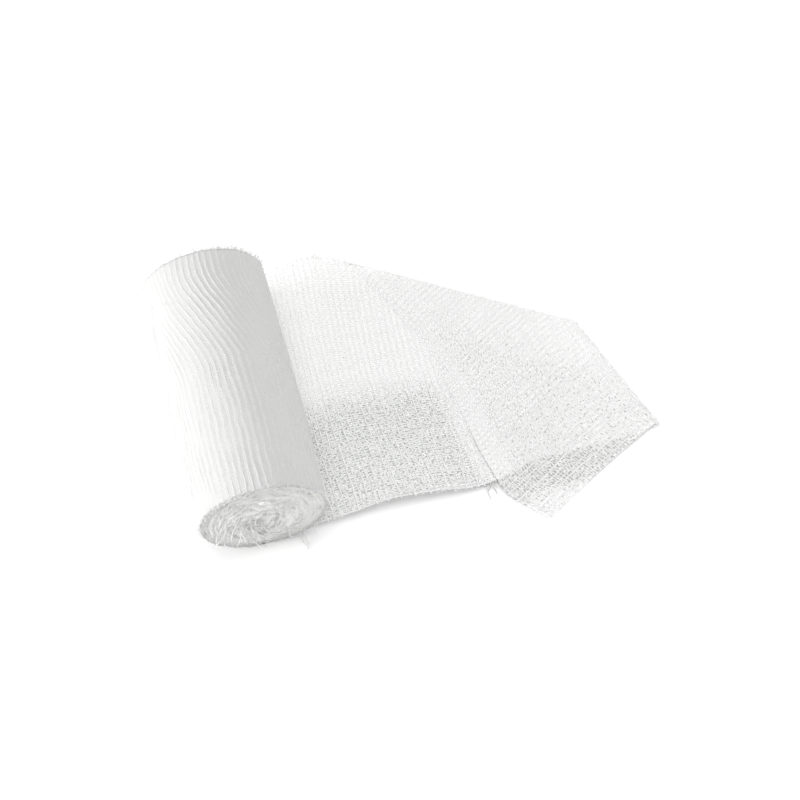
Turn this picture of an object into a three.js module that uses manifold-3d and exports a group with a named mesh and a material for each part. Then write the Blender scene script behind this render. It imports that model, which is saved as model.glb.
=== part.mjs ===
// A cotton gauze bandage, wound on itself into a soft roll that lies on its side, with its loose end
// drawn out over the surface, folded over at the far edge and laid back across itself.
// Millimetres, +Z up. The origin is the middle of the roll's flat resting spot, +Y runs along the
// roll's axis to its far end, and the loose end leaves the roll towards +X.
import * as THREE from "three";
import { mergeVertices } from "three/addons/utils/BufferGeometryUtils.js";
import Module from "manifold-3d";

const wasm = await Module();
wasm.setup();

// The roll, which is a little slimmer towards its far end
const rollLength = 100;
const rollSections = [
  { along: 0, width: 44.6, height: 38.2 },
  { along: 0.3, width: 44.4, height: 37.6 },
  { along: 0.7, width: 42.8, height: 36.6 },
  { along: 1, width: 41.8, height: 36.0 },
];
const flatSink = 0.9; // how far the section is pressed into the surface, which makes the flat spot
const crinkleCount = 56;
const crinkleHeight = 0.24;
const rimDraw = 0.7; // how far the edges of the turns draw in
const rimStep = 1.1; // the wound ends start this far inside the outer turn's edge
const pointsRound = 2 * crinkleCount; // one point on each ridge and one in each furrow
const bodySteps = 14;

// The turn of a crinkle round the roll, in radians, from the near end to the far end
const crinkleRun = [
  { along: 0, turn: 0 },
  { along: 0.44, turn: 0.06 },
  { along: 0.9, turn: 0.83 },
  { along: 1, turn: 0.79 },
];

// The far edge of the outer turn flares out a little on the side away from the loose end
const flareHeight = 2.6;
const flareStart = 0.86;
const flareMiddle = Math.PI;
const flareWidth = 0.75;

// The wound ends
const turns = 4;
const endRings = 12;
const turnRelief = 0.7;
const nearBulge = 3.2;
const farBulge = 1.6;
const coreShift = 5; // the collapsed core lies this far off the middle

// The loose end
const clothThick = 1.0;
const layerGap = 0.4;
const alongSteps = 22;
const acrossSteps = 14;
const foldStep = clothThick + layerGap;
const foldRadius = (foldStep + clothThick) / 2;
const foldSides = 10;

// Edges of the layer that lies on the surface, from the roll outwards. x and y are the place, and
// lift is how far the cloth's underside stands off the surface there.
const nearEdge = [
  { x: 11.5, y: -47, lift: 0 },
  { x: 26, y: -46.5, lift: 2.4 },
  { x: 44, y: -44.8, lift: 4.4 },
  { x: 60, y: -45, lift: 4.0 },
  { x: 76, y: -45.6, lift: 2.0 },
  { x: 98, y: -39, lift: 0 },
  { x: 119, y: -38, lift: 0 },
  { x: 144, y: -37, lift: 0 },
];
const farEdge = [
  { x: 11.5, y: 53.5, lift: 0 },
  { x: 25, y: 58, lift: 1.6 },
  { x: 38, y: 60.5, lift: 1.8 },
  { x: 51, y: 57.5, lift: 0.4 },
  { x: 76, y: 42.5, lift: 0 },
  { x: 101, y: 27.5, lift: 0 },
  { x: 126, y: 12.5, lift: 0 },
];
const touchDown = 0.54; // the raised near part comes down to the surface this far across
const unevenness = 0.5; // the cloth's soft waves stand this high between its edges

// Edges of the flap that is folded over, from the fold at the far side to the cut end
const flapLeft = [
  { x: 51, y: 57.5 },
  { x: 66, y: 28 },
  { x: 75.5, y: -6 },
  { x: 80.5, y: -38 },
  { x: 84, y: -49 },
  { x: 96, y: -63 },
];
const flapRight = [
  { x: 126, y: 12.5 },
  { x: 135, y: -12.2 },
  { x: 144, y: -37 },
];
const dropWidth = 20; // the flap comes down to the surface over this width past the layer below

const cotton = { color: 0xf4f5f2, metalness: 0 };

const mix = (a, b, t) => a + (b - a) * t;
const smooth = (t) => {
  const c = Math.min(1, Math.max(0, t));
  return c * c * (3 - 2 * c);
};

// A row of an edge table at share t of the edge's length, on a smooth curve through its rows
function edgeCurve(rows) {
  const curve = new THREE.CatmullRomCurve3(
    rows.map((row) => new THREE.Vector3(row.x, row.y, row.lift ?? 0)),
    false,
    "centripetal",
  );
  return (t) => curve.getPointAt(t);
}

// A closed solid from its points and triangles
function solidOf(points, triangles) {
  const geometry = new THREE.BufferGeometry();
  geometry.setAttribute("position", new THREE.Float32BufferAttribute(points.flat(), 3));
  geometry.setIndex(triangles.flat());
  return asManifold(geometry);
}

function asManifold(geometry) {
  const bare = geometry.clone();
  bare.deleteAttribute("normal");
  bare.deleteAttribute("uv");
  const merged = mergeVertices(bare, 1e-4);
  return new wasm.Manifold(
    new wasm.Mesh({
      numProp: 3,
      vertProperties: merged.attributes.position.array,
      triVerts: new Uint32Array(merged.index.array),
    }),
  );
}

function asMesh(name, manifold, roughness) {
  const { vertProperties, triVerts } = manifold.getMesh();
  const geometry = new THREE.BufferGeometry();
  geometry.setAttribute("position", new THREE.BufferAttribute(vertProperties, 3));
  geometry.setIndex(new THREE.BufferAttribute(triVerts, 1));
  geometry.computeVertexNormals();
  const mesh = new THREE.Mesh(geometry, new THREE.MeshStandardMaterial({ ...cotton, roughness }));
  mesh.name = name;
  return mesh;
}

// Rings of equal count, each joined to the next, closed by one point at either end
function ringSolid(firstPoint, rings, lastPoint) {
  const count = rings[0].length;
  const points = [firstPoint, ...rings.flat(), lastPoint];
  const last = points.length - 1;
  const at = (ring, i) => 1 + ring * count + (i % count);
  const triangles = [];
  for (let i = 0; i < count; i++) {
    triangles.push([0, at(0, i), at(0, i + 1)]);
    for (let ring = 0; ring + 1 < rings.length; ring++) {
      triangles.push([at(ring, i), at(ring + 1, i), at(ring + 1, i + 1)]);
      triangles.push([at(ring, i), at(ring + 1, i + 1), at(ring, i + 1)]);
    }
    triangles.push([at(rings.length - 1, i), last, at(rings.length - 1, i + 1)]);
  }
  return solidOf(points, triangles);
}

// The value of one column of a table at a place along the roll, on a smooth curve through its rows
function tableCurve(rows, column) {
  return (along) => {
    const k = Math.min(rows.length - 2, Math.max(0, rows.findIndex((row) => row.along >= along) - 1));
    const t = (along - rows[k].along) / (rows[k + 1].along - rows[k].along);
    return mix(rows[k][column], rows[k + 1][column], smooth(t));
  };
}

const rollWidth = tableCurve(rollSections, "width");
const rollHeight = tableCurve(rollSections, "height");
const crinkleTurn = tableCurve(crinkleRun, "turn");

// A point of the roll's oval section: share is 0 at the core and 1 at the outer turn, and extra
// is a height outwards in millimetres
function sectionPoint(angle, along, share, extra) {
  const middle = rollHeight(0) / 2 - flatSink;
  const across = (rollWidth(along) / 2) * share + extra;
  const upright = (rollHeight(along) / 2) * share + extra;
  const sag = (rollHeight(0) - rollHeight(along)) / 2;
  const x = across * Math.cos(angle) - coreShift * (1 - share);
  return [x, Math.max(0, middle - sag + upright * Math.sin(angle))];
}

// The points of a ring follow the crinkles, so that each ridge is one line of points
const ringAngle = (i, along) => (2 * Math.PI * i) / pointsRound + crinkleTurn(along);

function endRing(share, bulge, side) {
  const along = side < 0 ? 0 : 1;
  const ring = [];
  for (let i = 0; i < pointsRound; i++) {
    const angle = ringAngle(i, along);
    const [x, z] = sectionPoint(angle, along, share, -rimDraw * share);
    const swirl = Math.cos(2 * Math.PI * turns * share - side * angle);
    const rise = bulge * (1 - share * share) + turnRelief * swirl * smooth((1 - share) * 4);
    ring.push([x, side * (rollLength / 2 - rimStep + rise), z]);
  }
  return ring;
}

function flare(angle, along) {
  const away = Math.atan2(Math.sin(angle - flareMiddle), Math.cos(angle - flareMiddle));
  const reach = Math.max(0, (along - flareStart) / (1 - flareStart));
  return flareHeight * Math.exp(-((away / flareWidth) ** 2)) * reach ** 1.6;
}

function bodyRing(step) {
  const along = step / bodySteps;
  const drawn = rimDraw * (1 - Math.sin(Math.PI * along) ** 0.25);
  const ring = [];
  for (let i = 0; i < pointsRound; i++) {
    const ridge = i % 2 ? -crinkleHeight : crinkleHeight;
    const angle = ringAngle(i, along);
    const [x, z] = sectionPoint(angle, along, 1, ridge - drawn + flare(angle, along));
    ring.push([x, mix(-rollLength / 2, rollLength / 2, along), z]);
  }
  return ring;
}

function woundRoll() {
  const rings = [];
  for (let k = 1; k < endRings; k++) rings.push(endRing(k / endRings, nearBulge, -1));
  for (let step = 0; step <= bodySteps; step++) rings.push(bodyRing(step));
  for (let k = endRings - 1; k > 0; k--) rings.push(endRing(k / endRings, farBulge, 1));
  const tip = (side, bulge) => {
    const [x, z] = sectionPoint(0, side < 0 ? 0 : 1, 0, 0);
    return [x, side * (rollLength / 2 - rimStep + bulge), z];
  };
  return ringSolid(tip(-1, nearBulge), rings, tip(1, farBulge));
}

// A sheet whose underside is place(s, t), for s along and t across, with an upright thickness
function sheetSolid(place) {
  const under = [];
  for (let i = 0; i <= alongSteps; i++)
    for (let j = 0; j <= acrossSteps; j++) under.push(place(i / alongSteps, j / acrossSteps));
  const over = under.map(([x, y, z]) => [x, y, z + clothThick]);
  const layer = under.length;
  const at = (i, j) => i * (acrossSteps + 1) + j;
  const triangles = [];
  const quad = (a, b, c, d) => triangles.push([a, b, c], [a, c, d]);
  for (let i = 0; i < alongSteps; i++)
    for (let j = 0; j < acrossSteps; j++) {
      const corners = [at(i, j), at(i + 1, j), at(i + 1, j + 1), at(i, j + 1)];
      quad(...corners.map((c) => c + layer));
      quad(...corners.reverse());
    }
  const wall = (a, b) => quad(a, b, b + layer, a + layer);
  for (let i = 0; i < alongSteps; i++) {
    wall(at(i, 0), at(i + 1, 0));
    wall(at(i + 1, acrossSteps), at(i, acrossSteps));
  }
  for (let j = 0; j < acrossSteps; j++) {
    wall(at(alongSteps, j), at(alongSteps, j + 1));
    wall(at(0, j + 1), at(0, j));
  }
  return solidOf([...under, ...over], triangles);
}

const near = edgeCurve(nearEdge);
const far = edgeCurve(farEdge);
const left = edgeCurve(flapLeft);
const right = edgeCurve(flapRight);

function lowerPlace(s, t) {
  const a = near(s);
  const b = far(s);
  const raised = a.z * smooth(1.3 * (1 - t / touchDown)) + b.z * smooth(5 * t - 4);
  const waves = 1 + 0.6 * Math.sin(13 * s + 4 * t) + 0.4 * Math.sin(8 * s - 9 * t + 1);
  return [mix(a.x, b.x, t), mix(a.y, b.y, t), raised + 0.5 * unevenness * waves * Math.sin(Math.PI * t)];
}

// How far a point lies past the near edge of the layer below, outwards
function pastNearEdge(x, y) {
  const rows = nearEdge;
  const k = Math.max(0, Math.min(rows.length - 2, rows.findIndex((row) => row.x > x) - 1));
  const t = (x - rows[k].x) / (rows[k + 1].x - rows[k].x);
  return mix(rows[k].y, rows[k + 1].y, Math.min(1.2, t)) - y;
}

function flapPlace(s, t) {
  const a = left(s);
  const b = right(s);
  const x = mix(a.x, b.x, t);
  const y = mix(a.y, b.y, t);
  const overLifted = 2.0 * smooth((92 - x) / 16) * smooth((-20 - y) / 18) * smooth((y + 62) / 18);
  const drop = 1 - smooth((pastNearEdge(x, y) - 1) / dropWidth);
  return [x, y, foldStep * drop + overLifted];
}

// The rounded edge that joins two layers along a fold, turned so that a flat side faces down
function foldBead(from, to) {
  const a = new THREE.Vector3(from.x, from.y, foldRadius);
  const b = new THREE.Vector3(to.x, to.y, foldRadius);
  const length = a.distanceTo(b);
  const size = [foldRadius, foldRadius, length, foldSides, 1, false, Math.PI / foldSides];
  const bead = new THREE.CylinderGeometry(...size);
  const turn = new THREE.Quaternion().setFromUnitVectors(
    new THREE.Vector3(0, 1, 0),
    b.clone().sub(a).normalize(),
  );
  const middle = a.clone().add(b).multiplyScalar(0.5);
  bead.applyMatrix4(new THREE.Matrix4().compose(middle, turn, new THREE.Vector3(1, 1, 1)));
  return asManifold(bead);
}

function looseEnd() {
  const layers = sheetSolid(lowerPlace).add(sheetSolid(flapPlace));
  const foldFar = foldBead(flapLeft[0], flapRight[0]);
  const foldRight = foldBead(flapRight[0], flapRight[flapRight.length - 1]);
  return layers.add(foldFar).add(foldRight);
}

const bandage = new THREE.Group();
bandage.name = "gauze_bandage_roll";
bandage.add(asMesh("wound_roll", woundRoll(), 0.95));
bandage.add(asMesh("loose_end", looseEnd(), 0.95));

export default bandage;
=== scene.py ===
"""A cotton gauze bandage: a soft roll lying on its side, with its loose end drawn out over the
surface, folded over at the far edge and laid back across itself.

+Y runs along the roll to its far end, +X is the way the loose end is drawn out, and +Z is up.
Sizes in the tables and functions are millimetres, and every mesh is written in metres.
"""

import math
import random

import bmesh
import bpy
import numpy as np
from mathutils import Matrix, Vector, noise


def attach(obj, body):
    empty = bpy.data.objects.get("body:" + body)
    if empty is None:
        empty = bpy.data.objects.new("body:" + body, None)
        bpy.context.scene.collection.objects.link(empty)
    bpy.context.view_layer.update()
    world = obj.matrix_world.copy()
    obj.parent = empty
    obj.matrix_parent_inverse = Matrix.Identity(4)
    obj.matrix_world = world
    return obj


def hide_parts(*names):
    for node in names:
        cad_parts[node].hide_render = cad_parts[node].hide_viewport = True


MM = 0.001
CHANCE = random.Random(7)

# The view
VIEW_AZIMUTH = -13.4
VIEW_ELEVATION = 58.0
VIEW_DISTANCE = 1000.0
VIEW_CENTRE = (57.6, -4.4, 0.0)
VIEW_LENS = 128.7

# The roll
ROLL_LENGTH = 100.0
ROLL_SECTIONS = (
    # along, width, height
    (0.0, 44.6, 38.2),
    (0.3, 44.4, 37.6),
    (0.7, 42.8, 36.6),
    (1.0, 41.8, 36.0),
)
MEAN_DIAMETER = 42.0
FLAT_SINK = 0.9
CORE_SHIFT = 5.0
LOWEST = 0.05
LUMP_HEIGHT = 0.18
RIM_DRAW = 0.9
RIM_WAVE = 0.9
RIM_RIPPLE = 0.35
RIBS = 60
RIB_POINTS = 6
RIB_HEIGHT = 0.14
RIB_YARN_RADIUS = 0.26
RIB_YARN_SINK = 0.12
RIB_RUN = (
    # along, turn round the roll in radians
    (0.0, 0.0),
    (0.35, 0.0),
    (0.54, 0.03),
    (0.63, 0.13),
    (0.72, 0.31),
    (0.82, 0.52),
    (0.9, 0.62),
    (1.0, 0.6),
)
FLARE_HEIGHT = 2.6
FLARE_START = 0.86
FLARE_WIDTH = 0.75
BODY_ROWS = 130
NEAR_ROWS = 84
FAR_ROWS = 40

# The wound ends
NEAR_BULGE = 3.0
FAR_BULGE = 1.4
END_STEP = 1.2
END_TURNS = 9
TURN_RISE = 1.6
TURN_SINK = 0.8
HOLLOW_DEPTH = 2.2

# The loose end, laid out flat
NEAR_SELVEDGE = (
    # x, y, lift
    (7.0, -47.0, 0.0),
    (11.5, -47.0, 0.0),
    (26.0, -46.5, 2.0),
    (44.0, -44.8, 3.7),
    (60.0, -45.0, 3.3),
    (76.0, -45.6, 1.6),
    (98.0, -39.0, 0.0),
    (119.0, -38.0, 0.0),
    (142.6, -35.6, 0.0),
    (178.5, -33.0, 0.0),
)
FAR_SELVEDGE = (
    (7.0, 52.5, 0.0),
    (11.5, 53.5, 0.0),
    (25.0, 58.0, 1.6),
    (38.0, 60.5, 1.8),
    (51.0, 57.5, 0.4),
    (84.0, 58.1, 0.0),
    (118.5, 65.7, 0.0),
    (149.0, 76.2, 0.0),
    (160.5, 78.4, 0.0),
    (178.5, 74.3, 0.0),
)
EDGE_POINTS = 400
EDGE_BOW = 3.4
TOUCH_DOWN = 0.54
RIPPLE_HEIGHT = 0.3
SETTLE_AT_END = 0.7
SETTLE_AT_SIDE = 0.8
TURNED_OVER = 3.0
CLOTH_LENGTH = 171.5
FOLD_START = np.array((51.0, 57.5))
FOLD_CORNER = np.array((126.0, 12.5))
FLAP_CORNER = np.array((144.0, -37.0))
MIDLINE_END = np.array((178.0, 19.8))
FOLD_RADIUS = 0.42
TUCK_RADIUS = 0.3
TUCK_DEPTH = 5.0
TUCK_END = np.array((143.4, -35.0))
TUCK_SLOPE = np.array((-0.6, 0.8))
FLAP_DROP = 20.0
WEFT_PITCH = 2.1
WARP_PITCH = 0.92
WOUND_WEFT_PITCH = 0.75
SELVEDGE_BAND = 3.4
WEFT_RADIUS = 0.23
WARP_RADIUS = 0.16
WEFT_STEPS = 104
VEIL_STEPS = (168, 100)
THREAD_LOWEST = 0.2

# How open the weave is: it sets how low the veil lies and how much painted shade shows in the veil's
# holes. The first two are hundredths of the way across the strip.
OPEN_ACROSS = 53
OPEN_BLEND = 18
OPEN_HANGING = 1.2
OPEN_DOUBLE = 0.56
OPEN_NEAR_FOLD = 0.35

# Loose threads
END_THREADS = 1100
NEAR_END_THREADS = 900
BOLD_EVERY = 25
BOLD_RADIUS = 0.17
RIM_FIBRES = 900
RIM_FIBRE_RADIUS = 0.08
HANGING_RADIUS = 0.16
HANGING_THREADS = (
    # angle round the near rim, length
    (-1.0, 7),
    (-0.92, 6),
    (-0.7, 3),
)
FRAY = (
    # count, share along from and to, hundredths across, length from and to, radius
    (90, 0.02, 0.26, 99.5, 0.6, 2.0, 0.12),
    (14, 0.19, 0.215, 99.5, 2.5, 5.0, 0.12),
    (120, 0.26, 1.0, 99.8, 0.4, 1.4, 0.06),
    (110, 0.02, 0.78, 0.3, 0.5, 1.8, 0.08),
)
KINK_SHARE = 0.418
KINK_STEP = 0.004
KINK_RADIUS = 0.17
KINK_LENGTHS = (6.5, 4.5, 5.5, 3.0)

# Colours
WHITE_COTTON = (0.97, 0.975, 0.97, 1)
SHADED_COTTON = (0.87, 0.875, 0.86, 1)
# Painted shade: the dark spots in the veil that stand in for the shadowed surface seen through the
# weave's holes.
HOLE_SHADE = (0.4, 0.4, 0.395, 1)
# The roll's sides: the packed cloth's own tone and painted shade, darker than the loose end's cotton.
PACKED_SHADE_COTTON = (0.605, 0.61, 0.605, 1)
# Painted shade: the colour of the roll's furrows and hollows.
DEEP_SHADE_COTTON = (0.51, 0.51, 0.495, 1)
# Painted light: the roll's ends are lighter than its sides.
END_LIGHTENED_COTTON = (0.84, 0.84, 0.82, 1)
# Painted shade: the rib yarn is darker than the loose end's yarn, to match the roll's sides.
RIB_COTTON = (0.68, 0.685, 0.68, 1)
RIB_SHADED = (0.58, 0.58, 0.57, 1)
# Painted shade: the loose threads and fluff on the roll are darker than the loose end's yarn, keeping
# the rims dark.
LOOSE_COTTON = (0.79, 0.795, 0.79, 1)
LOOSE_SHADED = (0.68, 0.68, 0.67, 1)
FLOOR_WHITE = (0.97, 0.97, 0.97, 1)

# The stage, in metres and watts
FLOOR_SIZE = 3
WORLD_LIGHT = 0.48
LAMPS = (
    # name, place, size, power
    ("top", (0.3, 0.2, 1.7), 2.0, 22.5),
    ("left", (-1.3, 0.0, 0.29), 0.4, 16),
    ("front", (0.3, -1.6, 0.6), 1.0, 9),
)
LAMP_AIM = (0.05, 0, 0)


def table_curve(rows, column):
    """A smooth curve through a table's rows: the column's value at even steps of its length."""
    points = np.array(rows, float)
    steps = np.linalg.norm(np.diff(points[:, :2], axis=0), axis=1)
    at = np.concatenate([[0], np.cumsum(steps)])
    values = points[:, column]
    slopes = np.gradient(values, at)
    where = np.linspace(0, at[-1], EDGE_POINTS)
    k = np.clip(np.searchsorted(at, where, side="right") - 1, 0, len(at) - 2)
    wide = at[k + 1] - at[k]
    t = (where - at[k]) / wide
    return (
        (2 * t**3 - 3 * t**2 + 1) * values[k]
        + (t**3 - 2 * t**2 + t) * wide * slopes[k]
        + (3 * t**2 - 2 * t**3) * values[k + 1]
        + (t**3 - t**2) * wide * slopes[k + 1]
    )


SHARES = np.linspace(0, 1, EDGE_POINTS)
NEAR_LINE = [table_curve(NEAR_SELVEDGE, column) for column in range(3)]
FAR_LINE = [table_curve(FAR_SELVEDGE, column) for column in range(3)]


def eased(t):
    t = np.clip(t, 0, 1)
    return t * t * (3 - 2 * t)


def between(a, b, t):
    return a + (b - a) * t


def column_at(rows, column, along):
    """A column of a table against its first one, on straight lines with softened corners."""
    at = [row[0] for row in rows]
    values = [row[column] for row in rows]
    spread = (-0.03, -0.015, 0.0, 0.015, 0.03)
    return sum(np.interp(np.asarray(along) + d, at, values) for d in spread) / len(spread)


# Shader nodes
class Wire:
    """A number that changes over a surface. Python's operators on it add the Math nodes."""

    def __init__(self, paint, socket):
        self.paint = paint
        self.socket = socket

    def __add__(self, other):
        return self.paint.maths("ADD", self, other)

    def __sub__(self, other):
        return self.paint.maths("SUBTRACT", self, other)

    def __mul__(self, other):
        return self.paint.maths("MULTIPLY", self, other)

    def __rsub__(self, other):
        return self.paint.maths("SUBTRACT", other, self)

    __radd__ = __add__
    __rmul__ = __mul__


class Paint:
    """The node tree of one material."""

    def __init__(self, name):
        self.material = bpy.data.materials.new(name)
        self.material.use_nodes = True
        self.tree = self.material.node_tree
        self.tree.nodes.clear()

    def node(self, kind, settings=(), **inputs):
        made = self.tree.nodes.new(kind)
        for key, value in dict(settings).items():
            setattr(made, key, value)
        for key, value in inputs.items():
            self.set(made, key, value)
        return made

    def set(self, made, key, value):
        """Link or set an input, by its name or, as i0 or i1, by its number."""
        name = key.replace("_", " ")
        socket = made.inputs[int(key[1:])] if key[1:].isdigit() else made.inputs[name]
        if isinstance(value, Wire):
            self.tree.links.new(value.socket, socket)
        elif isinstance(value, bpy.types.NodeSocket):
            self.tree.links.new(value, socket)
        else:
            socket.default_value = value

    def wire(self, kind, output, settings=(), **inputs):
        return Wire(self, self.node(kind, settings, **inputs).outputs[output])

    def maths(self, operation, first, second=0.0, clamp=False):
        settings = {"operation": operation, "use_clamp": clamp}
        return self.wire("ShaderNodeMath", 0, settings, i0=first, i1=second)

    def sine(self, value):
        return self.maths("SINE", value)

    def clipped(self, value):
        return self.maths("ADD", value, 0.0, clamp=True)

    def blend(self, share, first, second):
        """Two colours mixed."""
        made = self.node("ShaderNodeMix", {"data_type": "RGBA"})
        self.set(made, "i0", share)
        self.set(made, "i6", first)
        self.set(made, "i7", second)
        return made.outputs[2]

    def place(self, output="Object"):
        return self.node("ShaderNodeTexCoord").outputs[output]

    def grain(self, scale, detail, where=None, stretch=(1, 1, 1)):
        """Soft noise, as a number from 0 to 1. scale is in lumps to the millimetre."""
        where = self.place() if where is None else where
        mapped = self.node("ShaderNodeMapping", Vector=where, Scale=tuple(1000 * s for s in stretch))
        return self.wire(
            "ShaderNodeTexNoise", 0, Vector=mapped.outputs[0], Scale=scale, Detail=detail
        )

    def bump(self, height, distance):
        return self.node("ShaderNodeBump", Height=height, Distance=distance * MM).outputs[0]

    def cloth(self, colour, roughness, normal=None, glow=0.0):
        made = self.node("ShaderNodeBsdfPrincipled", Base_Color=colour, Roughness=roughness)
        made.inputs["Specular IOR Level"].default_value = 0.2
        made.inputs["Sheen Weight"].default_value = 0.25
        made.inputs["Sheen Roughness"].default_value = 0.5
        made.inputs["Subsurface Weight"].default_value = glow
        made.inputs["Subsurface Radius"].default_value = (1.0, 1.0, 0.95)
        made.inputs["Subsurface Scale"].default_value = 0.8 * MM
        if normal is not None:
            self.set(made, "Normal", normal)
        return made

    def finish(self, shader):
        self.node("ShaderNodeOutputMaterial", Surface=shader.outputs[0])
        return self.material


# Materials
def yarn_cotton(name, light, shaded):
    paint = Paint(name)
    patches = paint.grain(0.25, 2.0)
    fibres = paint.grain(5.0, 4.0)
    colour = paint.blend(patches * 0.5 + fibres * 0.4, light, shaded)
    normal = paint.bump(fibres, 0.12)
    return paint.finish(paint.cloth(colour, 0.9, normal, glow=0.3))


def wound_cotton():
    """The cloth of the roll: a fine weave on ribs, with painted shade between the ribs, between the
    warp threads and in the ends' hollows.
    """
    paint = Paint("wound_cotton")
    spot = paint.node("ShaderNodeSeparateXYZ", Vector=paint.place("UV"))
    along = Wire(paint, spot.outputs[0])
    around = Wire(paint, spot.outputs[1])
    wobble = paint.grain(0.5, 2.0)
    warp = paint.sine(along * (1000 * 2 * math.pi / WARP_PITCH) + wobble * 5.0) * 0.5 + 0.5
    weft = paint.sine(around * (1000 * 2 * math.pi / WOUND_WEFT_PITCH) + wobble * 7.0) * 0.5 + 0.5
    fibres = paint.grain(2.5, 5.0)
    lumps = paint.grain(0.35, 3.0)
    height = warp * 0.25 + weft * 0.12 + fibres * 0.8 + lumps * 0.5
    furrow_shade = paint.wire("ShaderNodeAttribute", 2, {"attribute_name": "furrow_shade"})
    # Painted shade in the furrows and hollows and between the warp threads, with a random tone from
    # the fibres.
    shade = paint.clipped(furrow_shade * 0.5 + (1 - warp) * 0.06 + (1 - fibres) * 0.15)
    wound_end = paint.wire("ShaderNodeAttribute", 2, {"attribute_name": "wound_end"})
    # Painted light on the ends, and on the sides painted shade together with the packed cloth's own
    # tone.
    pale = paint.blend(wound_end, PACKED_SHADE_COTTON, END_LIGHTENED_COTTON)
    colour = paint.blend(shade, pale, DEEP_SHADE_COTTON)
    normal = paint.bump(height, 0.22)
    return paint.finish(paint.cloth(colour, 0.92, normal))


def veil_cotton():
    """The fine fibres between the yarns. Where the weave is open, dark spots of painted shade stand in
    for the shadowed surface seen through its holes.
    """
    paint = Paint("cotton_veil")
    spot = paint.node("ShaderNodeSeparateXYZ", Vector=paint.place("UV"))
    along = Wire(paint, spot.outputs[0])
    across = Wire(paint, spot.outputs[1])
    wobble = paint.grain(0.4, 2.0)
    weft = paint.sine(along * (1000 * 2 * math.pi / WEFT_PITCH) + wobble * 4.0) * 0.5 + 0.5
    warp = paint.sine(across * (1000 * 2 * math.pi / WARP_PITCH) + wobble * 4.0) * 0.5 + 0.5
    fibres = paint.grain(3.0, 5.0)
    holes = paint.grain(1.3, 1.0, paint.place("UV"), (0.8, 1.3, 1))
    painted_hole_shade = paint.wire("ShaderNodeAttribute", 2, {"attribute_name": "painted_hole_shade"})
    # Painted shade: dark spots where the weave is open, in place of the shadowed surface below the
    # cloth.
    dark = paint.clipped((holes + painted_hole_shade * 0.19 - 0.7) * 18.0)
    cover = paint.clipped(weft * warp * 0.2 + fibres * 0.4 + 0.6)
    pale = paint.blend(fibres * 0.6, WHITE_COTTON, SHADED_COTTON)
    colour = paint.blend(dark * (0.6 + fibres * 0.5), pale, HOLE_SHADE)
    shader = paint.cloth(colour, 0.95)
    paint.set(shader, "Alpha", cover)
    return paint.finish(shader)


def plain_floor():
    paint = Paint("plain_floor")
    shader = paint.node("ShaderNodeBsdfPrincipled", Base_Color=FLOOR_WHITE, Roughness=0.9)
    return paint.finish(shader)


# Making pieces
def piece_from(name, bm, material, *nodes):
    mesh = bpy.data.meshes.new(name)
    bm.to_mesh(mesh)
    bm.free()
    for face in mesh.polygons:
        face.use_smooth = True
    return placed(bpy.data.objects.new(name, mesh), material, *nodes)


def placed(piece, material, *nodes):
    bpy.context.scene.collection.objects.link(piece)
    piece.data.materials.append(material)
    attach(piece, "root")
    if nodes:
        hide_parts(*nodes)
    return piece


def tubes(name, paths, material):
    """One mesh of many thin threads. Each path is its points in millimetres and its radius, or one
    radius for each point."""
    curve = bpy.data.curves.new(name + "_lines", "CURVE")
    curve.dimensions = "3D"
    curve.bevel_depth = MM
    curve.bevel_resolution = 0
    curve.use_fill_caps = True
    for points, radius in paths:
        spline = curve.splines.new("POLY")
        spline.points.add(len(points) - 1)
        flat = np.ones((len(points), 4))
        flat[:, :3] = np.asarray(points) * MM
        spline.points.foreach_set("co", flat.ravel())
        spline.points.foreach_set("radius", np.broadcast_to(radius, len(points)).astype(float))
    lines = bpy.data.objects.new(name + "_lines", curve)
    bpy.context.scene.collection.objects.link(lines)
    bpy.context.view_layer.update()
    mesh = bpy.data.meshes.new_from_object(
        lines.evaluated_get(bpy.context.evaluated_depsgraph_get())
    )
    bpy.data.objects.remove(lines)
    bpy.data.curves.remove(curve)
    mesh.name = name
    mesh.materials.clear()
    for face in mesh.polygons:
        face.use_smooth = True
    return placed(bpy.data.objects.new(name, mesh), material)


# The wound roll
def rib_angle(rib, along):
    """Where a rib of the outer turn lies round the roll. Ribs lean and waver, and never cross."""
    angle = 2 * math.pi * rib / RIBS + float(column_at(RIB_RUN, 1, along))
    spot = Vector((2.1 * math.cos(angle), 2.1 * math.sin(angle), along * 7))
    return angle + 0.03 * noise.noise(spot) + 0.012 * noise.noise(spot * 3.1)


def roll_point(angle, along, share, extra):
    """Across and height of a place on the roll: share of the way out from its core, plus extra."""
    width = float(column_at(ROLL_SECTIONS, 1, along))
    height = float(column_at(ROLL_SECTIONS, 2, along))
    middle = ROLL_SECTIONS[0][2] / 2 - FLAT_SINK - (ROLL_SECTIONS[0][2] - height) / 2
    x = (width / 2 * share + extra) * math.cos(angle) - CORE_SHIFT * (1 - share)
    z = middle + (height / 2 * share + extra) * math.sin(angle)
    return x, max(LOWEST, z)


def rim_draw(angle, along):
    """How far the edges of the outer turn draw in, and its far edge flares out on one side."""
    drawn = RIM_DRAW * (1 - math.sin(math.pi * min(1, max(0, along))) ** 0.2)
    away = math.remainder(angle - math.pi, 2 * math.pi) / FLARE_WIDTH
    reach = max(0, (along - FLARE_START) / (1 - FLARE_START))
    return FLARE_HEIGHT * math.exp(-away * away) * reach**1.6 - drawn


def rim_offset(angle, side):
    """How far the outer turn's edge stands out or lies back along the roll."""
    spot = Vector((1.3 * math.cos(angle), 1.3 * math.sin(angle), 5.0 * side))
    return RIM_WAVE * noise.noise(spot) + RIM_RIPPLE * noise.noise(spot * 4.7)


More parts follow.
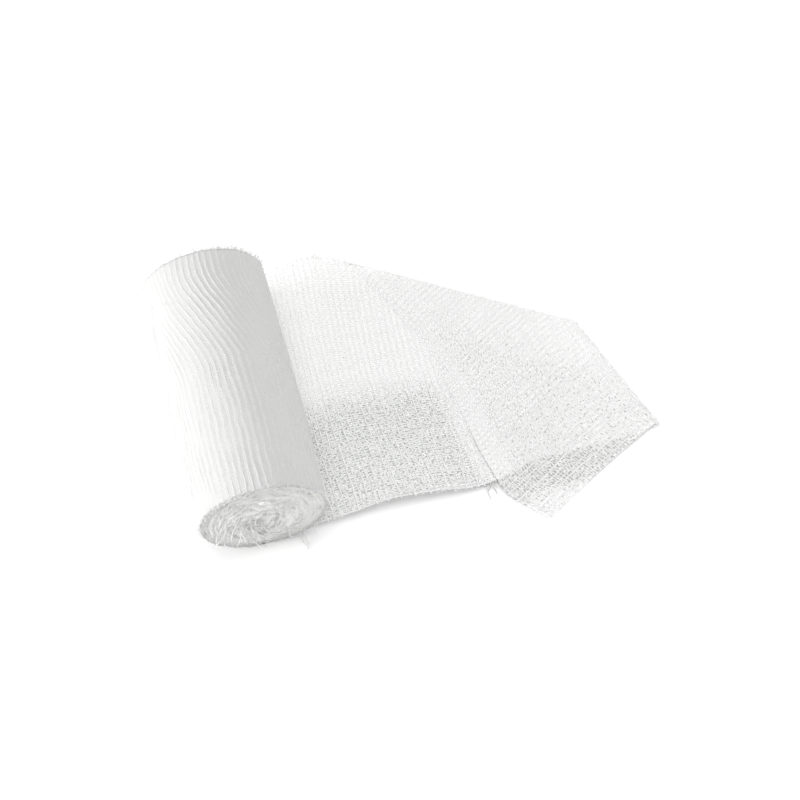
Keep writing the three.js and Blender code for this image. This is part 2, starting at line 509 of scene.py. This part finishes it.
def end_rise(angle, share, side, bulge):
    """The crumpled edges of the inner turns, as a height out of the roll's end."""
    x, z = 20 * share * math.cos(angle), 17 * share * math.sin(angle)
    spot = Vector((x, z, 40.0 * side))
    loose = 1 - share
    warp = loose * (2.2 * noise.noise(spot * 0.11) + 0.9 * noise.noise(spot * 0.3))
    spiral = END_TURNS * share - side * angle / (2 * math.pi) + warp
    edge = abs(2 * (spiral % 1) - 1)
    layer = 1 - edge**4
    height = 0.5 + 0.5 * noise.noise(Vector((math.floor(spiral) * 5.3, 2 * angle, share * 3)))
    hollow = -HOLLOW_DEPTH * max(0, noise.noise(spot * 0.17 + Vector((3, 0, 0)))) * loose**0.3
    fuzz = 0.35 * noise.noise(spot * 1.1) + 0.2 * noise.noise(spot * 2.7)
    fade = float(eased(loose * 9))
    crumple = TURN_RISE * layer * height - TURN_SINK + hollow
    return bulge * (1 - share * share) + fade * crumple + fuzz


def wound_roll(material):
    """One grid wrapped round the roll: its columns go along the ribs, and its first and last rows
    close in over the two ends to the core."""
    columns = RIBS * RIB_POINTS
    rows = NEAR_ROWS + BODY_ROWS + FAR_ROWS
    bm = bmesh.new()
    uv = bm.loops.layers.uv.verify()
    bmesh.ops.create_grid(bm, x_segments=columns, y_segments=rows, size=1, calc_uvs=True)
    furrows = bm.verts.layers.float.new("furrow_shade")
    wound_ends = bm.verts.layers.float.new("wound_end")
    for face in bm.faces:
        for loop in face.loops:
            u, v = loop[uv].uv
            body = (v * rows - NEAR_ROWS) / BODY_ROWS
            loop[uv].uv = (body * ROLL_LENGTH * MM, u * math.pi * MEAN_DIAMETER * MM)
    for vert in bm.verts:
        column = round((vert.co.x + 1) / 2 * columns) % columns
        row = round((vert.co.y + 1) / 2 * rows)
        along = min(1, max(0, (row - NEAR_ROWS) / BODY_ROWS))
        angle = rib_angle(column / RIB_POINTS, along)
        phase = 2 * math.pi * (column % RIB_POINTS) / RIB_POINTS
        side = -1 if along == 0 else 1
        if row < NEAR_ROWS or row > NEAR_ROWS + BODY_ROWS:
            inner = row / NEAR_ROWS if side < 0 else (rows - row) / FAR_ROWS
            share = inner**0.85
            rise = end_rise(angle, share, side, NEAR_BULGE if side < 0 else FAR_BULGE)
            x, z = roll_point(angle, along, share, rim_draw(angle, along) * share**3)
            y = side * (ROLL_LENGTH / 2 - END_STEP + rise + rim_offset(angle, side) * share**3)
            # Painted shade, darker where the end lies lower.
            vert[furrows] = 0.25 - 0.25 * (rise - 1.5) * (1 - share**4)
            vert[wound_ends] = 1.0
        else:
            spot = Vector((1.9 * math.cos(angle), 1.9 * math.sin(angle), along * 6 + 9))
            depth = RIB_HEIGHT * (0.8 + noise.noise(spot * 1.7))
            crest = (0.5 + 0.5 * math.cos(phase)) ** 1.4
            lump = LUMP_HEIGHT * noise.noise(spot * 0.8)
            rise = rim_draw(angle, along) + depth * (crest - 0.5) + lump
            x, z = roll_point(angle, along, 1, rise)
            tip = rim_offset(angle, 1) * along**8 - rim_offset(angle, -1) * (1 - along) ** 8
            y = between(-ROLL_LENGTH / 2, ROLL_LENGTH / 2, along) + tip
            # Painted shade, darker in the furrow between two ribs.
            vert[furrows] = (1 - crest) * min(1, depth / RIB_HEIGHT) * 0.55
        vert.co = Vector((x, y, z)) * MM
    bmesh.ops.remove_doubles(bm, verts=bm.verts, dist=1e-7)
    bmesh.ops.recalc_face_normals(bm, faces=bm.faces)
    return piece_from("gauze_roll", bm, material, "wound_roll")


def rib_yarns(material):
    """The weft yarn that runs along the crest of each rib of the outer turn."""
    paths = []
    for rib in range(RIBS):
        points = []
        for along in np.linspace(0.004, 0.996, 110):
            angle = rib_angle(rib, along)
            rise = -RIB_YARN_SINK + 0.08 * noise.noise(Vector((rib * 1.7, 0, along * 12)))
            x, z = roll_point(angle, along, 1, rise + rim_draw(angle, along))
            points.append((x, between(-ROLL_LENGTH / 2, ROLL_LENGTH / 2, along), z))
        thick = [RIB_YARN_RADIUS * CHANCE.uniform(0.8, 1.2) for _ in points]
        paths.append((points, thick))
    return tubes("rib_yarns", paths, material)


# The loose end
def flat_point(share, across):
    """A place on the strip before it is folded: its share along it, and hundredths across it."""
    t = np.asarray(across) / 100
    near = [np.interp(share, SHARES, line) for line in NEAR_LINE[:2]]
    far = [np.interp(share, SHARES, line) for line in FAR_LINE[:2]]
    bow = -EDGE_BOW * np.sin(math.pi * t) * eased(np.asarray(share) / 0.3)
    return np.stack([between(near[0], far[0], t) + bow, between(near[1], far[1], t)], axis=-1)


def edge_heights(x):
    """The near and far edges' places across, and their lifts, at x."""
    near_y = np.interp(x, NEAR_LINE[0], NEAR_LINE[1])
    far_y = np.interp(x, FAR_LINE[0], FAR_LINE[1])
    near_lift = np.interp(x, NEAR_LINE[0], NEAR_LINE[2])
    far_lift = np.interp(x, FAR_LINE[0], FAR_LINE[2])
    return near_y, far_y, near_lift, far_lift


def lower_lift(x, y):
    """How far the layer on the surface stands off it."""
    near_y, far_y, near_lift, far_lift = edge_heights(x)
    t = np.clip((y - near_y) / (far_y - near_y), 0, 1)
    raised = near_lift * eased(1.3 * (1 - t / TOUCH_DOWN))
    return raised + far_lift * eased(5 * t - 4)


def past_near_edge(x, y):
    return np.interp(x, NEAR_LINE[0], NEAR_LINE[1]) - y


FOLD_ALONG = (FOLD_CORNER - FOLD_START) / np.linalg.norm(FOLD_CORNER - FOLD_START)
FOLD_OUT = np.array((-FOLD_ALONG[1], FOLD_ALONG[0]))
EDGE_ALONG = (FLAP_CORNER - FOLD_CORNER) / np.linalg.norm(FLAP_CORNER - FOLD_CORNER)
EDGE_OUT = np.array((-EDGE_ALONG[1], EDGE_ALONG[0]))
MID_ALONG = (MIDLINE_END - FOLD_CORNER) / np.linalg.norm(MIDLINE_END - FOLD_CORNER)
MID_UP = np.array((-MID_ALONG[1], MID_ALONG[0]))


def across_of(flat):
    """How far across the strip a place on it lies, from 0 at the near selvedge to 100."""
    near_y = np.interp(flat[:, 0], NEAR_LINE[0], NEAR_LINE[1])
    far_y = np.interp(flat[:, 0], FAR_LINE[0], FAR_LINE[1])
    return 100 * (flat[:, 1] - near_y) / (far_y - near_y)


def beyond_fold(flat):
    return (flat - FOLD_START) @ FOLD_OUT


def beyond_edge(flat):
    return (flat - FOLD_CORNER) @ EDGE_OUT


def above_midline(flat):
    return (flat - FOLD_CORNER) @ MID_UP


def fold_turn(flat):
    """How far the cloth has turned over at the long fold, from 0 below to half a turn on top."""
    return np.clip(beyond_fold(flat) / FOLD_RADIUS + math.pi / 2, 0, math.pi)


def laid(flat, above):
    """Where a place on the flat strip comes to lie, above being its height over the cloth. The
    flap comes down past the near edge of the layer below, and its free edges settle on it."""
    past = beyond_fold(flat) + math.pi / 2 * FOLD_RADIUS
    turn = fold_turn(flat)
    bent = past > 0
    foot = flat - np.where(bent, past, 0)[:, None] * FOLD_OUT
    reach = np.where(
        bent,
        (FOLD_RADIUS - above) * np.sin(turn) - np.maximum(past - math.pi * FOLD_RADIUS, 0),
        0,
    )
    over = foot + reach[:, None] * FOLD_OUT
    lower = ~bent
    tuck = np.where(lower, beyond_edge(flat) + math.pi / 2 * TUCK_RADIUS, -1)
    tuck_turn = np.clip(tuck / TUCK_RADIUS, 0, math.pi)
    tucked = tuck > 0
    back = (TUCK_RADIUS - above) * np.sin(tuck_turn) - np.maximum(tuck - math.pi * TUCK_RADIUS, 0)
    over = np.where(
        tucked[:, None], flat - tuck[:, None] * EDGE_OUT + back[:, None] * EDGE_OUT, over
    )
    x, y = over[:, 0], over[:, 1]
    lift = lower_lift(x, y)
    drop = eased((past_near_edge(x, y) - 1) / FLAP_DROP)
    # The flap stands up a little where its corner nearest the roll comes down.
    wrinkle = eased((92 - x) / 16) * eased((-20 - y) / 18) * eased((y + 62) / 18)
    ripple = RIPPLE_HEIGHT * np.sin(x * 0.16 + y * 0.05) * np.sin(y * 0.11)
    edge_fall = eased((2.2 - above_midline(flat)) / 2.2)
    side_fall = eased((across_of(flat) - 92) / 8)
    settle = SETTLE_AT_END * edge_fall + SETTLE_AT_SIDE * side_fall
    flap = lift * (1 - drop) - 2 * FOLD_RADIUS * drop + wrinkle - settle * (1 - drop)
    rest = np.where(turn > TURNED_OVER, flap + ripple * 0.6, lift + np.abs(ripple) * 0.5)
    z = rest + FOLD_RADIUS - (FOLD_RADIUS - above) * np.cos(turn)
    z = np.where(tucked, lift + TUCK_RADIUS - (TUCK_RADIUS - above) * np.cos(tuck_turn), z)
    return np.stack([x, y, np.maximum(z + WEFT_RADIUS + WARP_RADIUS, THREAD_LOWEST)], axis=-1)


def shown(flat):
    """Which places of the flat strip are in one of the two layers, and which are tucked away."""
    past = beyond_fold(flat)
    at_corner = (past > -2 * FOLD_RADIUS) & (beyond_edge(flat) > 0)
    past_end = (beyond_edge(flat) > 0) & ((flat - TUCK_END) @ TUCK_SLOPE < 0)
    lower = (past <= 0) & (beyond_edge(flat) <= TUCK_DEPTH) & ~at_corner & ~past_end
    flap = (past > 0) & (above_midline(flat) >= 0)
    return lower | flap


def runs(points, keep):
    """The unbroken stretches of a thread that show."""
    found = []
    start = None
    for i, wanted in enumerate(list(keep) + [False]):
        if wanted and start is None:
            start = i
        if not wanted and start is not None:
            if i - start > 2:
                found.append(points[start:i])
            start = None
    return found


def waver(count, seed, scale, size):
    """A smooth sideways wander along a thread."""
    return np.array(
        [size * noise.noise(Vector((seed * 3.7, i * scale, 0.3 * seed))) for i in range(count)]
    )


def weft_paths():
    """The bold yarns across the strip, each at its own wavering place along it."""
    paths = []
    count = round(CLOTH_LENGTH / WEFT_PITCH)
    for k in range(count):
        share = (k + 0.5) / count
        low = -CHANCE.uniform(0.1, 0.9)
        high = 100 + CHANCE.uniform(0.1, 2.0 if share < 0.27 else 0.5)
        across = np.linspace(low, high, WEFT_STEPS)
        shares = share + waver(WEFT_STEPS, k, 0.05, 0.9 / CLOTH_LENGTH)
        shares += waver(WEFT_STEPS, k // 3, 0.02, 1.6 / CLOTH_LENGTH)
        shares += waver(WEFT_STEPS, k + 200, 0.35, 0.25 / CLOTH_LENGTH)
        flat = flat_point(shares, across)
        points = laid(flat, np.zeros(WEFT_STEPS))
        thick = WEFT_RADIUS * (1 + CHANCE.uniform(-0.3, 0.35))
        for run in runs(points, shown(flat)):
            paths.append((run, thick * (1 + waver(len(run), k + 50, 0.2, 0.35))))
    return paths


def warp_places():
    """Where the yarns along the strip lie across it. They are closer in the selvedges."""
    places = []
    across = 0.2
    while across < 100:
        places.append(across)
        edge = min(across, 100 - across)
        across += WARP_PITCH * (0.5 if edge < SELVEDGE_BAND else 1.0)
    return places


def warp_paths():
    """The fine yarns along the strip, over one weft yarn and under the next."""
    paths = []
    picks = round(CLOTH_LENGTH / WEFT_PITCH)
    for k, place in enumerate(warp_places()):
        steps = picks * 2 + 1
        fray = CHANCE.uniform(-0.004, 0.014)
        shares = np.linspace(0, 1, steps) * (1 + fray)
        across = place + waver(steps, k + 400, 0.06, 0.55) + waver(steps, k + 700, 0.4, 0.12)
        flat = flat_point(shares, across)
        over = np.cos(math.pi * np.arange(steps)) * (1 if k % 2 else -1)
        points = laid(flat, over * (WEFT_RADIUS * 0.9))
        for run in runs(points, shown(flat)):
            paths.append((run, WARP_RADIUS * (1 + CHANCE.uniform(-0.25, 0.3))))
    return paths


def weave_openness(flat):
    """How open the weave is, which sets how much painted shade shows in the veil's holes and how low
    the veil lies: most where single cloth stands off the surface, less where the cloth is double, and
    least on the far part and along the folded selvedge."""
    x, y = laid(flat, np.zeros(len(flat)))[:, :2].T
    folded = fold_turn(flat) > TURNED_OVER
    under = eased((OPEN_ACROSS - across_of(flat)) / OPEN_BLEND)
    hanging = OPEN_HANGING * eased((past_near_edge(x, y) + 1) / 2.5)
    hanging *= 1 - 0.6 * eased((past_near_edge(x, y) - 10) / 7)
    inward = -((np.stack([x, y], axis=-1) - FOLD_START) @ FOLD_OUT)
    double = OPEN_DOUBLE * eased((inward - 5) / 20) * (1 - eased((across_of(flat) - 91) / 5))
    edge = laid(np.stack([FAR_LINE[0], FAR_LINE[1]], axis=-1), np.zeros(len(SHARES)))
    edge = edge[edge[:, 1].argsort()]
    gap = np.interp(y, edge[:, 1], edge[:, 0]) - x
    under *= between(OPEN_NEAR_FOLD, 1, eased((gap - 1) / 7))
    return np.where(folded, np.maximum(hanging, double), under)


def gauze_veil(material):
    """The thin web of fibres that the yarns lie in, as one sheet of cloth."""
    bm = bmesh.new()
    uv = bm.loops.layers.uv.verify()
    bmesh.ops.create_grid(
        bm, x_segments=VEIL_STEPS[0], y_segments=VEIL_STEPS[1], size=1, calc_uvs=True
    )
    for vert in bm.verts:
        x, y = flat_point((vert.co.x + 1) / 2, (vert.co.y + 1) * 50)
        vert.co = (x, y, 0)
    for face in bm.faces:
        for loop in face.loops:
            u, v = loop[uv].uv
            loop[uv].uv = (u * CLOTH_LENGTH * MM, v * 100 * MM)

    def cut(point, direction):
        bmesh.ops.bisect_plane(
            bm,
            geom=[*bm.verts, *bm.edges, *bm.faces],
            dist=1e-5,
            plane_co=(*point, 0),
            plane_no=(*direction, 0),
        )

    for step in range(7):
        cut(FOLD_START + FOLD_OUT * (math.pi * FOLD_RADIUS * (step / 6 - 0.5)), FOLD_OUT)
    cut(FOLD_START - FOLD_OUT * 2 * FOLD_RADIUS, FOLD_OUT)
    cut(TUCK_END, TUCK_SLOPE)
    cut(FOLD_CORNER, MID_UP)
    cut(FOLD_CORNER, EDGE_OUT)
    cut(FOLD_CORNER + EDGE_OUT * (math.pi * TUCK_RADIUS / 2), EDGE_OUT)
    cut(FOLD_CORNER + EDGE_OUT * TUCK_DEPTH, EDGE_OUT)
    hidden = [f for f in bm.faces if not shown(np.array([f.calc_center_median()[:2]]))[0]]
    bmesh.ops.delete(bm, geom=hidden, context="FACES")
    flat = np.array([v.co[:2] for v in bm.verts])
    # The share of painted shade in the veil's holes.
    painted_hole_shade = bm.verts.layers.float.new("painted_hole_shade")
    openness = weave_openness(flat)
    raised = between(0.1, -0.1, openness) * np.cos(fold_turn(flat))
    for vert, point, share in zip(bm.verts, laid(flat, raised), openness, strict=True):
        vert.co = Vector(point) * MM
        vert[painted_hole_shade] = share
    return piece_from("gauze_veil", bm, material, "loose_end")


# Frayed threads
def curl(start, heading, length, steps, wild, seed):
    """A loose thread that wanders off from start, in short steps."""
    points = [Vector(start)]
    way = Vector(heading).normalized()
    for i in range(steps):
        spot = Vector((seed * 1.3, i * 0.35, seed * 0.7))
        drift = Vector([noise.noise(spot + Vector((0, 40.5 * axis, 0))) for axis in range(3)])
        way = (way + wild * drift).normalized()
        reached = points[-1] + way * (length / steps)
        reached.z = max(THREAD_LOWEST, reached.z)
        points.append(reached)
    return [tuple(p) for p in points]


def end_threads(material):
    """Curly loose threads and fluff on the two wound ends, and a few that hang off the near rim."""
    paths = []
    for k in range(END_THREADS):
        side = -1 if k < NEAR_END_THREADS else 1
        angle = CHANCE.uniform(0, 2 * math.pi)
        bold = side < 0 and k % BOLD_EVERY == 0
        share = CHANCE.uniform(0.1, 0.7 if bold else 0.98)
        x, z = roll_point(angle, 0 if side < 0 else 1, share, -0.8)
        bulge = NEAR_BULGE if side < 0 else FAR_BULGE
        rise = end_rise(angle, share, side, bulge)
        start = (x, side * (ROLL_LENGTH / 2 - END_STEP - 0.1 + rise), z)
        round_it = (-math.sin(angle), side * 0.5, math.cos(angle))
        length = CHANCE.uniform(4, 9) if bold else CHANCE.uniform(1.0, 4)
        radius = BOLD_RADIUS if bold else CHANCE.uniform(0.05, 0.1)
        steps = 16 if bold else 8
        paths.append((curl(start, round_it, length, steps, 0.5, k), radius))
    for k, (angle, length) in enumerate(HANGING_THREADS):
        x, z = roll_point(angle, 0, 1, -0.4)
        start = (x, -ROLL_LENGTH / 2 + 0.4, z)
        heading = (0.15, -1.0, -0.8)
        paths.append((curl(start, heading, length, 14, 0.3, 900 + k), HANGING_RADIUS))
    return tubes("end_threads", paths, material)


def rim_fluff(material):
    """Short fibres that stand off the rims of the roll."""
    paths = []
    for k in range(RIM_FIBRES):
        side = 1 if k % 3 == 0 else -1
        angle = CHANCE.gauss(math.pi / 2, 1.4)
        along = 0.0 if side < 0 else 1.0
        x, z = roll_point(angle, along, 1, -0.6)
        start = (x, side * (ROLL_LENGTH / 2 + rim_offset(angle, side) * side * 0.6 - 0.4), z)
        heading = (0.7 * math.cos(angle), side * CHANCE.uniform(0.3, 1.4), 0.7 * math.sin(angle))
        length = CHANCE.uniform(0.8, 2.2) if math.sin(angle) > -0.1 else CHANCE.uniform(0.3, 0.9)
        paths.append((curl(start, heading, length, 4, 0.9, k), RIM_FIBRE_RADIUS))
    return tubes("rim_fluff", paths, material)


def edge_fray(material):
    """Short thread ends along the two selvedges."""
    paths = []
    for row, (count, first, last, across, shortest, longest, radius) in enumerate(FRAY):
        outward = across + (2 if across > 50 else -2)
        for k in range(count):
            share = CHANCE.uniform(first, last)
            length = CHANCE.uniform(shortest, longest)
            flat = flat_point(np.array([share, share]), np.array([across, outward]))
            start, beyond = laid(flat, np.zeros(2))
            lean = np.array([CHANCE.uniform(-1, 1), CHANCE.uniform(-1, 1), 0.3])
            heading = beyond - start + lean
            paths.append((curl(start, heading, length, 7, 0.45, 300 * row + k), radius))
    return tubes("edge_fray", paths, material)


def kink_threads(material):
    """Longer threads that hang off the near selvedge, just before the flap crosses it."""
    paths = []
    for k, length in enumerate(KINK_LENGTHS):
        flat = flat_point(np.array([KINK_SHARE + KINK_STEP * k]), np.array([0.3]))
        heading = (CHANCE.uniform(-0.4, 0.2), -1.0, -0.5)
        start = laid(flat, np.zeros(1))[0]
        paths.append((curl(start, heading, length, 9, 0.35, 1200 + k), KINK_RADIUS))
    return tubes("kink_threads", paths, material)


# The stage
def aim(thing, place, target):
    thing.location = place
    way = Vector(target) - Vector(place)
    thing.rotation_euler = way.to_track_quat("-Z", "Y").to_euler()


def camera():
    data = bpy.data.cameras.new("camera")
    data.lens = VIEW_LENS
    data.sensor_width = 36
    data.clip_end = 20
    thing = bpy.data.objects.new("camera", data)
    bpy.context.scene.collection.objects.link(thing)
    a, e = math.radians(VIEW_AZIMUTH), math.radians(VIEW_ELEVATION)
    back = Vector((math.sin(a) * math.cos(e), -math.cos(a) * math.cos(e), math.sin(e)))
    centre = Vector(VIEW_CENTRE) * MM
    aim(thing, centre + back * VIEW_DISTANCE * MM, centre)
    bpy.context.scene.camera = thing


def lamp(name, place, size, power):
    data = bpy.data.lights.new(name, "AREA")
    data.size = size
    data.energy = power
    thing = bpy.data.objects.new(name, data)
    bpy.context.scene.collection.objects.link(thing)
    aim(thing, place, LAMP_AIM)


def stage():
    bm = bmesh.new()
    bmesh.ops.create_grid(bm, x_segments=1, y_segments=1, size=FLOOR_SIZE)
    mesh = bpy.data.meshes.new("floor")
    bm.to_mesh(mesh)
    bm.free()
    floor = bpy.data.objects.new("floor", mesh)
    bpy.context.scene.collection.objects.link(floor)
    mesh.materials.append(plain_floor())
    world = bpy.data.worlds.new("studio")
    world.use_nodes = True
    light = world.node_tree.nodes["Background"]
    light.inputs["Color"].default_value = (1, 1, 1, 1)
    light.inputs["Strength"].default_value = WORLD_LIGHT
    bpy.context.scene.world = world
    for row in LAMPS:
        lamp(*row)
    bpy.context.scene.view_settings.view_transform = "Standard"


# The whole
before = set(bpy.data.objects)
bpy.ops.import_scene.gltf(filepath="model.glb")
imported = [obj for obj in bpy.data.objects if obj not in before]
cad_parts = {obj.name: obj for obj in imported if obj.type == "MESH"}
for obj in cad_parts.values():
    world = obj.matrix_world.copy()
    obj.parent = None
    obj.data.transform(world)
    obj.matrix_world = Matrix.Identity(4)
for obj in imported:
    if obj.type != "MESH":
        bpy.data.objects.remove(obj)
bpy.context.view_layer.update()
camera()
stage()

yarn = yarn_cotton("cotton_yarn", WHITE_COTTON, SHADED_COTTON)
rib_yarn = yarn_cotton("rib_yarn", RIB_COTTON, RIB_SHADED)
loose_yarn = yarn_cotton("loose_yarn", LOOSE_COTTON, LOOSE_SHADED)
roll = wound_roll(wound_cotton())
rib_yarns(rib_yarn)
end_threads(loose_yarn)
rim_fluff(loose_yarn)
veil = gauze_veil(veil_cotton())
weft = tubes("weft_yarns", weft_paths(), yarn)
warp = tubes("warp_yarns", warp_paths(), yarn)
fray = edge_fray(yarn)
# The hanging threads take the darker rib yarn: painted shade, so they show dark against the floor as
# if in shadow.
kink = kink_threads(rib_yarn)
